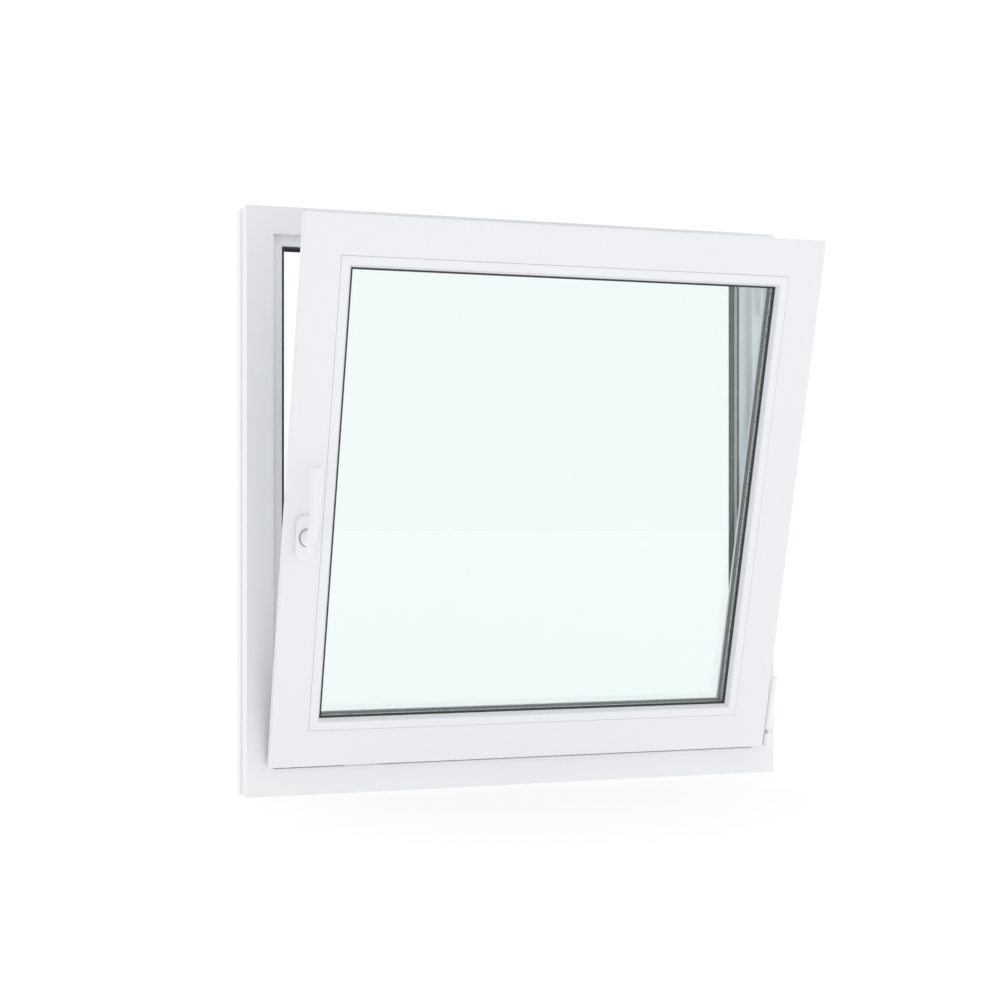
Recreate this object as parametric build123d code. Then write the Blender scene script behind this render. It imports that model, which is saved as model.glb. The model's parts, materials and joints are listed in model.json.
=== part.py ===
from build123d import *
import os
from math import cos, radians, sin

# Driving dimensions, millimetres.
# The fixed frame. Depths are counted from its room face and heights from its outer edge.
FRAME_WIDTH = 1000
FRAME_HEIGHT = 1000
FRAME_DEPTH = 70
FRAME_FACE = 47
REBATE_DEPTH = 16
RIB_THICKNESS = 10
RIB_TIP = 66
RIB_ROUNDING = 2
DRAIN_FLOOR = 51
LIP_THICKNESS = 20
LIP_TIP = 69
LIP_LAND = 2
LIP_BACK = 58
FRAME_WALL = 3
ROOM_CHAMBER = 8
WALL_GROOVE_START = 30
WALL_GROOVE_WIDTH = 15
WALL_GROOVE_DEPTH = 5
ARRIS_RADIUS = 1.2

# The sash. Depths are counted from its room face and heights from its flange edge.
OVERLAP = 13
FLANGE_THICKNESS = 15
OVERLAP_GAP = 3
REBATE_CLEARANCE = 12
SASH_DEPTH = 68
SHOULDER_GAP = 1
SHOULDER_CLEARANCE = 1.5
SASH_WALL = 2.8
SASH_FACE = 64.3
SASH_ROUNDING = 2.0
SASH_EDGE_ROUNDING = 1

# The tilted sash leans about its lower room-side edge, which stands up from its closed place.
TILT = 14.7
FOOT_LIFT = 16

# Hardware groove round the sash.
GROOVE_CENTRE = 23.5
FACEPLATE_WIDTH = 14
FACEPLATE_THICKNESS = 2.5
GEAR_SLOT_WIDTH = 12
GEAR_SLOT_DEPTH = 9

# Glazing: a sealed double unit held by beads on the room side.
BEAD_FLAT = 14.5
BEAD_SLOPE = 5
BEAD_SLOPE_DEPTH = 9
BEAD_DEPTH = 10
BEAD_ROUNDING = 0.8
BEAD_EDGE_ROUNDING = 0.4
BEAD_FOOT_THICKNESS = 3
BEAD_FOOT_LENGTH = 6
BEAD_FOOT_START = 4
CLIP_GAP = 0.2
INNER_GASKET = 2
PANE_THICKNESS = 4
PANE_GAP = 20
OUTER_GASKET = 3
PANE_EDGE_CLEARANCE = 5
SPACER_HEIGHT = 12
GASKET_LIP = 2
GASKET_ROUNDING = 0.6

# Seals of the frame and of the sash flange.
SEAL_FOOT_WIDTH = 4
SEAL_FOOT_DEPTH = 4
CENTRE_SEAL_REACH = 3
CENTRE_SEAL_PROUD = 0.5
CENTRE_SEAL_LIP = 3
CENTRE_SEAL_HEEL = 1
CENTRE_SEAL_ROUNDING = 0.8
OUTER_SEAL_REACH = 1
OUTER_SEAL_HEIGHT = 2.5
OUTER_SEAL_WIDTH = 11.5
OUTER_SEAL_ROUNDING = 1
OVERLAP_SEAL_HEIGHT = 3.4
OVERLAP_SEAL_WIDTH = 8
OVERLAP_SEAL_ROUNDING = 1.5
SEAL_EDGE = 3

# Handle.
HANDLE_BACKSET = 35.5
HANDLE_HEIGHT = 404
ROSETTE_WIDTH = 34
ROSETTE_LENGTH = 76
ROSETTE_THICKNESS = 11
ROSETTE_RIM = (3, 2)
ROSETTE_RIM_DROP = 1
NECK_RADIUS = 10.3
NECK_GAP = 0.4
NECK_SEAM = 0.01
NECK_SEAT = 6
NECK_REACH = 21.5
NECK_BEND = 15
LEVER_REACH = 51
LEVER_RISE = 62
LEVER_BEND = 80
LEVER_LENGTH = 126
LEVER_WIDTH = 21
LEVER_THICKNESS = 12
LEVER_ROUNDING = 4.8
LEVER_END = 3
LEVER_END_TAPER = 35
SPINDLE_SIDE = 7
SPINDLE_HOLE_RADIUS = 5.6
SPINDLE_LENGTH = 32
GEARBOX_LENGTH = 120
GEARBOX_DEPTH = 24
GEARBOX_GAP = 0.3

# Locking cams on the sash and their keeps on the frame.
CAM_RADIUS = 3.5
CAM_STEM_RADIUS = 2.2
CAM_HEIGHT = 8
CAM_HEAD_HEIGHT = 2.7
KEEP_LENGTH = 60
KEEP_SETBACK = 0.8
KEEP_HEIGHT = 7
KEEP_FLOOR = 2.3
KEEP_END_WALL = 15
KEEP_SLOT_WIDTH = 8.4
REST_LENGTH = 24
REST_GAP = 0.3
CAM_FROM_CORNER = 166

# Hinges, on the right-hand side.
HINGE_OFFSET = 22.5
HINGE_PROUD = 14
HINGE_RADIUS = 7.2
BEARING_BOTTOM = 51
BEARING_HEIGHT = 23
PIVOT_GAP = 3
BARREL_LENGTH = 100
HINGE_PIN_RADIUS = 3
HINGE_PIN_DEPTH = 24
HINGE_PIN_GAP = 0.05
HINGE_PIN_END_GAP = 1
LEAF_THICKNESS = 2.5
LEAF_LENGTH = 70
STAY_BEARING_LENGTH = 89
STAY_BLOCK_RISE = 5.8
STAY_ARM_THICKNESS = 3
STAY_ARM_WIDTH = 16
STAY_ARM_LENGTH = 330
STAY_EYE_HEIGHT = 9
STAY_PIN_DEPTH = 30
STAY_CAP_HEIGHT = 2
STAY_BLOCK_LENGTH = 40

# Drain caps on the weather side of the sill.
DRAIN_CAP_WIDTH = 42
DRAIN_CAP_HEIGHT = 14
DRAIN_CAP_THICKNESS = 4
DRAIN_CAP_SPREAD = 560

# Sizes that follow from the driving ones.
ROOM_FACE_Y = -WALL_GROOVE_START / 2
MARGIN = FRAME_FACE - OVERLAP
SASH_WIDTH = FRAME_WIDTH - 2 * MARGIN
SASH_HEIGHT = FRAME_HEIGHT - 2 * MARGIN
FLANGE_WIDTH = OVERLAP + REBATE_CLEARANCE
PANE_START = BEAD_DEPTH + INNER_GASKET
PANE_END = PANE_START + 2 * PANE_THICKNESS + PANE_GAP
GLASS_LINE = SASH_FACE + BEAD_FLAT + BEAD_SLOPE
PANE_INSET = SASH_FACE + PANE_EDGE_CLEARANCE
LIP_START = PANE_END + OUTER_GASKET
OUTER_LIP_START = FRAME_DEPTH - LIP_THICKNESS
SHOULDER = RIB_TIP + CENTRE_SEAL_REACH + SHOULDER_CLEARANCE - MARGIN
GROOVE_FLOOR = FLANGE_WIDTH + FACEPLATE_THICKNESS
HINGE_X = FRAME_WIDTH / 2 - HINGE_OFFSET
HANDLE_X = HANDLE_BACKSET - SASH_WIDTH / 2
SASH_PROUD = FLANGE_THICKNESS + OVERLAP_GAP
SHOULDER_DEPTH = SASH_PROUD + REBATE_DEPTH - CENTRE_SEAL_PROUD - SHOULDER_GAP
KEEP_DEPTHS = (KEEP_SETBACK, REBATE_DEPTH - KEEP_SETBACK)
NECK_START = ROSETTE_THICKNESS - NECK_SEAT + NECK_GAP
PIVOT_LEVEL = BEARING_BOTTOM + BEARING_HEIGHT + PIVOT_GAP
FAR = 400

SASH_PLACE = Pos(0, ROOM_FACE_Y - SASH_PROUD, MARGIN + FOOT_LIFT) * Rot(TILT, 0, 0)
FRAME_PLACE = Pos(0, ROOM_FACE_Y, 0)


def section(*corners):
    """A closed face from (depth, height) corners, each with an optional rounding radius."""
    points = [(corner[0], corner[1]) for corner in corners]
    radii = [corner[2] if len(corner) > 2 else 0 for corner in corners]
    return make_face(FilletPolyline(*points, radius=radii, close=True))


def block(x, y, z):
    """A box between the given (low, high) pairs."""
    size = (x[1] - x[0], y[1] - y[0], z[1] - z[0])
    middle = ((x[0] + x[1]) / 2, (y[0] + y[1]) / 2, (z[0] + z[1]) / 2)
    return Pos(*middle) * Box(*size)


def chamber(depths, heights):
    """A hollow of a profile between the given (low, high) pairs."""
    middle = Pos((depths[0] + depths[1]) / 2, (heights[0] + heights[1]) / 2)
    return middle * Rectangle(depths[1] - depths[0], heights[1] - heights[0])


def mitred_bar(face, length):
    """A bottom bar of one section, cut at 45 degrees from its outer corners."""
    bar = extrude(Plane.YZ * face, amount=length / 2, both=True)
    reach = bar.bounding_box().max.Z
    outline = Polygon(
        (-length / 2, 0),
        (length / 2, 0),
        (length / 2 - reach, reach),
        (-length / 2 + reach, reach),
        align=None,
    )
    return bar & extrude(Plane.XZ * outline, amount=FAR, both=True)


def four_bars(face, width, height):
    """Bottom, top, left and right bars of one section round a rectangle."""
    across = mitred_bar(face, width)
    upright = mitred_bar(face, height)
    return {
        "bottom": across,
        "top": Pos(0, 0, height) * Rot(0, 180, 0) * across,
        "left": Pos(-width / 2, 0, height / 2) * Rot(0, 90, 0) * upright,
        "right": Pos(width / 2, 0, height / 2) * Rot(0, -90, 0) * upright,
    }


def joined_ring(face, width, height):
    """The four bars of a seal, welded at the corners into one loop."""
    bars = four_bars(face, width, height)
    return bars["bottom"] + bars["left"] + bars["top"] + bars["right"]


def frame_section():
    """Frame profile: room land, sash rebate, centre rib, drained chamber and outer lip."""
    rib_end = REBATE_DEPTH + RIB_THICKNESS
    outline = section(
        (0, 0, ARRIS_RADIUS),
        (0, FRAME_FACE, ARRIS_RADIUS),
        (REBATE_DEPTH, FRAME_FACE),
        (REBATE_DEPTH, RIB_TIP, RIB_ROUNDING),
        (rib_end, RIB_TIP, ARRIS_RADIUS),
        (rib_end, DRAIN_FLOOR),
        (OUTER_LIP_START, DRAIN_FLOOR),
        (OUTER_LIP_START, LIP_TIP),
        (OUTER_LIP_START + LIP_LAND, LIP_TIP),
        (FRAME_DEPTH, LIP_BACK, ARRIS_RADIUS),
        (FRAME_DEPTH, 0, ARRIS_RADIUS),
        (WALL_GROOVE_START + WALL_GROOVE_WIDTH, 0),
        (WALL_GROOVE_START + WALL_GROOVE_WIDTH, WALL_GROOVE_DEPTH),
        (WALL_GROOVE_START, WALL_GROOVE_DEPTH),
        (WALL_GROOVE_START, 0),
    )
    rib_middle = REBATE_DEPTH + RIB_THICKNESS / 2
    half_foot = SEAL_FOOT_WIDTH / 2
    seal_middle = LIP_TIP + OUTER_SEAL_REACH - OUTER_SEAL_WIDTH / 2
    face_top = FRAME_FACE - FRAME_WALL
    room_end = FRAME_WALL + ROOM_CHAMBER
    hollows = (
        chamber((rib_middle - half_foot, rib_middle + half_foot), (RIB_TIP - SEAL_FOOT_DEPTH, RIB_TIP)),
        chamber(
            (OUTER_LIP_START, OUTER_LIP_START + SEAL_FOOT_DEPTH),
            (seal_middle - half_foot, seal_middle + half_foot),
        ),
        chamber((FRAME_WALL, room_end), (FRAME_WALL, face_top)),
        chamber(
            (room_end + FRAME_WALL, OUTER_LIP_START - FRAME_WALL),
            (WALL_GROOVE_DEPTH + FRAME_WALL, face_top),
        ),
        chamber(
            (REBATE_DEPTH + FRAME_WALL, rib_end - FRAME_WALL),
            (FRAME_FACE, RIB_TIP - SEAL_FOOT_DEPTH - FRAME_WALL),
        ),
        chamber(
            (OUTER_LIP_START + FRAME_WALL, FRAME_DEPTH - FRAME_WALL),
            (FRAME_WALL, LIP_BACK - FRAME_WALL),
        ),
    )
    for hollow in hollows:
        outline -= hollow
    return outline


def centre_seal_section():
    """Lip seal on the centre rib, with a low heel and its foot in the rib's groove."""
    rib_middle = REBATE_DEPTH + RIB_THICKNESS / 2
    start = REBATE_DEPTH - CENTRE_SEAL_PROUD
    heel = start + CENTRE_SEAL_LIP + CENTRE_SEAL_HEEL
    end = rib_middle + SEAL_FOOT_WIDTH / 2
    head = section(
        (start, RIB_TIP),
        (start, RIB_TIP + CENTRE_SEAL_REACH, CENTRE_SEAL_ROUNDING),
        (start + CENTRE_SEAL_LIP, RIB_TIP + CENTRE_SEAL_REACH, CENTRE_SEAL_ROUNDING),
        (heel, RIB_TIP + CENTRE_SEAL_HEEL),
        (end, RIB_TIP + CENTRE_SEAL_HEEL),
        (end, RIB_TIP),
    )
    foot = Pos(rib_middle, RIB_TIP - SEAL_FOOT_DEPTH / 2) * Rectangle(SEAL_FOOT_WIDTH, SEAL_FOOT_DEPTH)
    return head + foot


def outer_seal_section():
    """Wiping seal at the tip of the outer lip, which reaches towards the closed sash."""
    high = LIP_TIP + OUTER_SEAL_REACH
    middle = high - OUTER_SEAL_WIDTH / 2
    head = section(
        (OUTER_LIP_START, high - OUTER_SEAL_WIDTH),
        (OUTER_LIP_START - OUTER_SEAL_HEIGHT, high - OUTER_SEAL_WIDTH, OUTER_SEAL_ROUNDING),
        (OUTER_LIP_START - OUTER_SEAL_HEIGHT, high, OUTER_SEAL_ROUNDING),
        (OUTER_LIP_START, high),
    )
    foot = Pos(OUTER_LIP_START + SEAL_FOOT_DEPTH / 2, middle) * Rectangle(SEAL_FOOT_DEPTH, SEAL_FOOT_WIDTH)
    return head + foot


def sash_section():
    """Sash profile: flange, hardware groove, shoulder, outer body and glazing rebate."""
    outline = section(
        (0, 0, SASH_ROUNDING),
        (FLANGE_THICKNESS, 0, SASH_EDGE_ROUNDING),
        (FLANGE_THICKNESS, FLANGE_WIDTH),
        (SHOULDER_DEPTH, FLANGE_WIDTH),
        (SHOULDER_DEPTH, SHOULDER),
        (SASH_DEPTH, SHOULDER, SASH_ROUNDING),
        (SASH_DEPTH, GLASS_LINE - 2 * BEAD_SLOPE, SASH_ROUNDING),
        (LIP_START + PANE_THICKNESS, GLASS_LINE, SASH_EDGE_ROUNDING),
        (LIP_START, GLASS_LINE),
        (LIP_START, SASH_FACE),
        (0, SASH_FACE, BEAD_ROUNDING),
    )
    half_plate = FACEPLATE_WIDTH / 2
    half_slot = GEAR_SLOT_WIDTH / 2
    slot_floor = GROOVE_FLOOR + GEAR_SLOT_DEPTH
    foot_end = BEAD_FOOT_START + BEAD_FOOT_THICKNESS
    seal_low = SEAL_EDGE + (OVERLAP_SEAL_WIDTH - SEAL_FOOT_WIDTH) / 2
    seal_high = seal_low + SEAL_FOOT_WIDTH
    body_top = SASH_FACE - SASH_WALL
    hollows = (
        chamber((GROOVE_CENTRE - half_plate, GROOVE_CENTRE + half_plate), (FLANGE_WIDTH, GROOVE_FLOOR)),
        chamber((GROOVE_CENTRE - half_slot, GROOVE_CENTRE + half_slot), (GROOVE_FLOOR, slot_floor)),
        chamber((BEAD_FOOT_START - CLIP_GAP, foot_end + CLIP_GAP), (SASH_FACE - BEAD_FOOT_LENGTH, SASH_FACE)),
        chamber((FLANGE_THICKNESS - SEAL_FOOT_DEPTH, FLANGE_THICKNESS), (seal_low, seal_high)),
        chamber(
            (SASH_WALL, FLANGE_THICKNESS - SASH_WALL),
            (seal_high + SASH_WALL, SASH_FACE - BEAD_FOOT_LENGTH - SASH_WALL),
        ),
        chamber((FLANGE_THICKNESS, SHOULDER_DEPTH - SASH_WALL), (slot_floor + SASH_WALL, body_top)),
        chamber((SHOULDER_DEPTH, SASH_DEPTH - SASH_WALL), (SHOULDER + SASH_WALL, body_top)),
    )
    for hollow in hollows:
        outline -= hollow
    return outline


def overlap_seal_section():
    """Seal on the back of the sash flange, which meets the frame's room face."""
    back = FLANGE_THICKNESS + OVERLAP_SEAL_HEIGHT
    head = section(
        (FLANGE_THICKNESS, SEAL_EDGE),
        (back, SEAL_EDGE, OVERLAP_SEAL_ROUNDING),
        (back, SEAL_EDGE + OVERLAP_SEAL_WIDTH, OVERLAP_SEAL_ROUNDING),
        (FLANGE_THICKNESS, SEAL_EDGE + OVERLAP_SEAL_WIDTH),
    )
    foot = Pos(
        FLANGE_THICKNESS - SEAL_FOOT_DEPTH / 2, SEAL_EDGE + OVERLAP_SEAL_WIDTH / 2
    ) * Rectangle(SEAL_FOOT_DEPTH, SEAL_FOOT_WIDTH)
    return head + foot


def bead_section():
    """Glazing bead: flat room face, sloped edge to the glass and a clip foot."""
    outline = section(
        (0, SASH_FACE, BEAD_ROUNDING),
        (0, SASH_FACE + BEAD_FLAT, BEAD_ROUNDING),
        (BEAD_SLOPE_DEPTH, GLASS_LINE, BEAD_EDGE_ROUNDING),
        (BEAD_DEPTH, GLASS_LINE),
        (BEAD_DEPTH, SASH_FACE),
    )
    foot_depth = BEAD_FOOT_START + BEAD_FOOT_THICKNESS / 2
    foot = Pos(foot_depth, SASH_FACE - BEAD_FOOT_LENGTH / 2 + CLIP_GAP) * Rectangle(
        BEAD_FOOT_THICKNESS, BEAD_FOOT_LENGTH - 2 * CLIP_GAP
    )
    joint = Pos(foot_depth, SASH_FACE) * Rectangle(BEAD_FOOT_THICKNESS, 2 * CLIP_GAP)
    return outline + foot + joint


def gasket_section(start, thickness):
    """A glazing gasket that shows as a thin lip past the bead."""
    return section(
        (start, PANE_INSET),
        (start + thickness, PANE_INSET),
        (start + thickness, GLASS_LINE + GASKET_LIP, GASKET_ROUNDING),
        (start, GLASS_LINE + GASKET_LIP / 2),
    )


def build_frame():
    """The four frame bars and the two seals they carry."""
    bars = four_bars(frame_section(), FRAME_WIDTH, FRAME_HEIGHT)
    pieces = {
        "frame_sill": bars["bottom"],
        "frame_head": bars["top"],
        "frame_left_jamb": bars["left"],
        "frame_right_jamb": bars["right"],
        "frame_centre_seal": joined_ring(centre_seal_section(), FRAME_WIDTH, FRAME_HEIGHT),
        "frame_outer_seal": joined_ring(outer_seal_section(), FRAME_WIDTH, FRAME_HEIGHT),
    }
    return {name: FRAME_PLACE * piece for name, piece in pieces.items()}


def build_drain_caps():
    """Two hooded caps over the drain slots, on the weather side of the sill."""
    caps = []
    for side in (-1, 1):
        middle = side * DRAIN_CAP_SPREAD / 2
        depth = (FRAME_DEPTH, FRAME_DEPTH + DRAIN_CAP_THICKNESS)
        low = DRAIN_FLOOR / 2 - DRAIN_CAP_HEIGHT
        caps.append(
            block(
                (middle - DRAIN_CAP_WIDTH / 2, middle + DRAIN_CAP_WIDTH / 2),
                depth,
                (low, low + DRAIN_CAP_HEIGHT),
            )
        )
    return {"sill_drain_caps": FRAME_PLACE * (caps[0] + caps[1])}


def spindle_bore():
    """Round hole for the handle spindle, from the room face into the gearbox pocket."""
    length = GROOVE_CENTRE + GEAR_SLOT_WIDTH / 2
    bore = Rot(-90, 0, 0) * Cylinder(SPINDLE_HOLE_RADIUS, length, align=(Align.CENTER, Align.CENTER, Align.MIN))
    return Pos(HANDLE_X, 0, HANDLE_HEIGHT) * bore


def gearbox_solid(gap):
    """The gearbox behind the left faceplate, or its pocket with a gap all round."""
    left = -SASH_WIDTH / 2 + GROOVE_FLOOR
    half_length = GEARBOX_LENGTH / 2 + gap
    half_width = GEAR_SLOT_WIDTH / 2 - GEARBOX_GAP + gap
    return block(
        (left, left + GEARBOX_DEPTH + gap),
        (GROOVE_CENTRE - half_width, GROOVE_CENTRE + half_width),
        (HANDLE_HEIGHT - half_length, HANDLE_HEIGHT + half_length),
    )


def build_sash():
    """The four sash bars, with the pocket and bore for the handle's gear."""
    bars = four_bars(sash_section(), SASH_WIDTH, SASH_HEIGHT)
    left_stile = bars["left"] - gearbox_solid(GEARBOX_GAP) - spindle_bore()
    return {
        "sash_bottom_rail": bars["bottom"],
        "sash_top_rail": bars["top"],
        "sash_left_stile": left_stile,
        "sash_right_stile": bars["right"],
    }


def build_glazing():
    """Beads, panes, spacer and gaskets of the sealed unit."""
    beads = four_bars(bead_section(), SASH_WIDTH, SASH_HEIGHT)
    pieces = {"bead_" + side: bead for side, bead in beads.items()}
    half_width = SASH_WIDTH / 2 - PANE_INSET
    low, high = PANE_INSET, SASH_HEIGHT - PANE_INSET
    for name, start in (
        ("glass_inner_pane", PANE_START),
        ("glass_outer_pane", PANE_END - PANE_THICKNESS),
    ):
        pieces[name] = block((-half_width, half_width), (start, start + PANE_THICKNESS), (low, high))
    spacer = section(
        (PANE_START + PANE_THICKNESS, PANE_INSET),
        (PANE_START + PANE_THICKNESS, PANE_INSET + SPACER_HEIGHT),
        (PANE_END - PANE_THICKNESS, PANE_INSET + SPACER_HEIGHT),
        (PANE_END - PANE_THICKNESS, PANE_INSET),
    )
    pieces["glass_spacer"] = joined_ring(spacer, SASH_WIDTH, SASH_HEIGHT)
    inner = gasket_section(BEAD_DEPTH, INNER_GASKET)
    outer = Pos(PANE_END + LIP_START, 0) * mirror(gasket_section(PANE_END, OUTER_GASKET), about=Plane.YZ)
    pieces["glass_inner_gasket"] = joined_ring(inner, SASH_WIDTH, SASH_HEIGHT)
    pieces["glass_outer_gasket"] = joined_ring(outer, SASH_WIDTH, SASH_HEIGHT)
    return pieces


def cam_stud(position):
    """A mushroom-headed locking cam that stands on a bottom faceplate."""
    stem = Cylinder(CAM_STEM_RADIUS, CAM_HEIGHT, align=(Align.CENTER, Align.CENTER, Align.MAX))
    head = Pos(0, 0, CAM_HEAD_HEIGHT / 2 - CAM_HEIGHT) * Cylinder(CAM_RADIUS, CAM_HEAD_HEIGHT)
    return Pos(position, GROOVE_CENTRE, FLANGE_WIDTH) * (stem + head)


def faceplate(length, cams):
    """A bottom gear faceplate with its cams, before it is turned to its side."""
    half = length / 2 - GROOVE_FLOOR
    plate = block(
        (-half, half),
        (GROOVE_CENTRE - FACEPLATE_WIDTH / 2, GROOVE_CENTRE + FACEPLATE_WIDTH / 2),
        (FLANGE_WIDTH, GROOVE_FLOOR),
    )
    for position in cams:
        plate += cam_stud(position)
    return plate


def build_gear():
    """Faceplates of the turning gear on the four edges of the sash."""
    across = SASH_WIDTH / 2 - CAM_FROM_CORNER
    upright = SASH_HEIGHT / 2 - CAM_FROM_CORNER
    left = Pos(-SASH_WIDTH / 2, 0, SASH_HEIGHT / 2) * Rot(0, 90, 0) * faceplate(SASH_HEIGHT, (upright,))
    right = Pos(SASH_WIDTH / 2, 0, SASH_HEIGHT / 2) * Rot(0, -90, 0) * faceplate(SASH_HEIGHT, (0,))
    top = Pos(0, 0, SASH_HEIGHT) * Rot(0, 180, 0) * faceplate(SASH_WIDTH, (across,))
    gearbox = gearbox_solid(0) - spindle_bore()
    return {
        "gear_left": left + gearbox,
        "gear_right": right,
        "gear_top": top,
        "gear_bottom": faceplate(SASH_WIDTH, (-across,)),
    }


def keep(position):
    """A keep on the sill's rebate wall, with the slot that a cam slides into."""
    cam_depth = GROOVE_CENTRE - SASH_PROUD
    start, end = position - KEEP_LENGTH / 2, position + KEEP_LENGTH / 2
    body = block((start, end), KEEP_DEPTHS, (FRAME_FACE, FRAME_FACE + KEEP_HEIGHT))
    slot = block(
        (start + KEEP_END_WALL, end),
        (cam_depth - KEEP_SLOT_WIDTH / 2, cam_depth + KEEP_SLOT_WIDTH / 2),
        (FRAME_FACE + KEEP_FLOOR, FRAME_FACE + KEEP_HEIGHT),
    )
    return body - slot


def tilt_rest(position):
    """The raised stop beside the tilt cam, on which the tilted sash stands."""
    cam_end = SASH_PLACE * Pos(0, GROOVE_CENTRE, FLANGE_WIDTH - CAM_HEIGHT)
    return block(
        (position - REST_LENGTH / 2, position + REST_LENGTH / 2),
        KEEP_DEPTHS,
        (FRAME_FACE, cam_end.position.Z - REST_GAP),
    )


def build_keeps():
    """Keeps on the frame, opposite the closed places of the cams."""
    across = SASH_WIDTH / 2 - CAM_FROM_CORNER
    upright = SASH_HEIGHT / 2 - CAM_FROM_CORNER
    to_left = Pos(-FRAME_WIDTH / 2, 0, FRAME_HEIGHT / 2) * Rot(0, 90, 0)
    to_right = Pos(FRAME_WIDTH / 2, 0, FRAME_HEIGHT / 2) * Rot(0, -90, 0)
    to_top = Pos(0, 0, FRAME_HEIGHT) * Rot(0, 180, 0)
    pieces = {
        "jamb_keep_left": to_left * keep(upright),
        "jamb_keep_right": to_right * keep(0),
        "head_keep": to_top * keep(across),
        "sill_tilt_keep": keep(-across) + tilt_rest(-across),
    }
    return {name: FRAME_PLACE * piece for name, piece in pieces.items()}


def square_to(edge, place, face):
    """A flat face set square to an edge, at its start (0) or its end (1)."""
    return Plane(origin=edge @ place, x_dir=(1, 0, 0), z_dir=edge % place) * face


def build_lever():
    """Swan-necked lever: a round neck, two bends with a flattening rise, and the grip."""
    grip_reach = LEVER_REACH - LEVER_THICKNESS / 2
    line = FilletPolyline(
        (0, -NECK_START, 0),
        (0, -NECK_REACH, 0),
        (0, -grip_reach, LEVER_RISE),
        (0, -grip_reach, LEVER_LENGTH - LEVER_END),
        radius=(NECK_BEND, LEVER_BEND),
    )
    neck, low_bend, _, high_bend, grip = line.edges()
    neck_face = RectangleRounded(2 * NECK_RADIUS, 2 * NECK_RADIUS, NECK_RADIUS - NECK_SEAM)
    grip_face = RectangleRounded(LEVER_WIDTH, LEVER_THICKNESS, LEVER_ROUNDING)
    end_face = square_to(grip, 1, grip_face)
    stations = [square_to(neck, 0, neck_face)]
    stations += [square_to(low_bend, place, neck_face) for place in (0, 1 / 3, 2 / 3, 1)]
    stations += [square_to(high_bend, place, grip_face) for place in (0, 1 / 2, 1)]
    lever = loft([*stations, end_face], ruled=True)
    return lever + extrude(end_face, amount=LEVER_END, taper=LEVER_END_TAPER)


def build_handle():
    """Rosette on the stile, and the lever and spindle that turn in it."""
    outline = SlotOverall(ROSETTE_LENGTH, ROSETTE_WIDTH, rotation=90)
    rosette = extrude(Plane.XZ * outline, amount=ROSETTE_THICKNESS)
    for depth in ROSETTE_RIM:
        rosette = chamfer(rosette.faces().sort_by(Axis.Y)[0].edges(), ROSETTE_RIM_DROP, depth)
    seat = Cylinder(NECK_RADIUS + NECK_GAP, NECK_SEAT, align=(Align.CENTER, Align.CENTER, Align.MIN))
    rosette -= Pos(0, -ROSETTE_THICKNESS, 0) * Rot(-90, 0, 0) * seat
    rosette -= Rot(-90, 0, 0) * Cylinder(SPINDLE_HOLE_RADIUS, 2 * ROSETTE_THICKNESS)
    spindle = block(
        (-SPINDLE_SIDE / 2, SPINDLE_SIDE / 2),
        (-NECK_START, SPINDLE_LENGTH - NECK_START),
        (-SPINDLE_SIDE / 2, SPINDLE_SIDE / 2),
    )
    place = Pos(HANDLE_X, 0, HANDLE_HEIGHT)
    return {
        "handle_rosette": place * rosette,
        "handle_lever": place * build_lever(),
        "handle_spindle": place * spindle,
    }


def build_corner_hinge():
    """Bottom hinge: a bearing on the frame, a tilting pin, and a barrel on the sash edge."""
    lower = (Align.CENTER, Align.CENTER, Align.MIN)
    bore_radius = HINGE_PIN_RADIUS + HINGE_PIN_GAP
    bearing = Pos(HINGE_X, -HINGE_PROUD, BEARING_BOTTOM) * Cylinder(HINGE_RADIUS, BEARING_HEIGHT, align=lower)
    bearing += block(
        (HINGE_X - HINGE_RADIUS, HINGE_X + HINGE_RADIUS),
        (-HINGE_PROUD, 0),
        (BEARING_BOTTOM, BEARING_BOTTOM + BEARING_HEIGHT),
    )
    bearing -= Pos(HINGE_X, -HINGE_PROUD, PIVOT_LEVEL) * Cylinder(bore_radius, 2 * HINGE_PIN_DEPTH)

    out = SASH_PROUD - HINGE_PROUD
    up = PIVOT_LEVEL - MARGIN - FOOT_LIFT
    lean = radians(TILT)
    pivot = Pos(HINGE_X, out * cos(lean) + up * sin(lean), up * cos(lean) - out * sin(lean))
    pin_foot = FRAME_PLACE * Pos(HINGE_X, -HINGE_PROUD, PIVOT_LEVEL - HINGE_PIN_DEPTH)
    pin_top = SASH_PLACE * pivot * Pos(0, 0, HINGE_PIN_DEPTH)
    bent_line = Polyline(pin_foot.position, (SASH_PLACE * pivot).position, pin_top.position)
    pin = sweep(pin_foot * Circle(HINGE_PIN_RADIUS), path=bent_line, transition=Transition.RIGHT)

    barrel_low = pivot.position.Z + 2 * PIVOT_GAP
    barrel_high = barrel_low + BARREL_LENGTH
    barrel_depth = pivot.position.Y
    leaf = Pos(HINGE_X, barrel_depth, barrel_low) * Cylinder(HINGE_RADIUS, BARREL_LENGTH, align=lower)
    leaf_back = FLANGE_THICKNESS + LEAF_THICKNESS
    leaf += block(
        (SASH_WIDTH / 2 - FLANGE_WIDTH, HINGE_X),
        (FLANGE_THICKNESS, leaf_back),
        (barrel_high - LEAF_LENGTH, barrel_high),
    )
    leaf -= pivot * Cylinder(bore_radius, 2 * (HINGE_PIN_DEPTH + HINGE_PIN_END_GAP))
    return {"corner_bearing": FRAME_PLACE * bearing, "corner_pin": pin}, {"corner_hinge_leaf": leaf}


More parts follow.
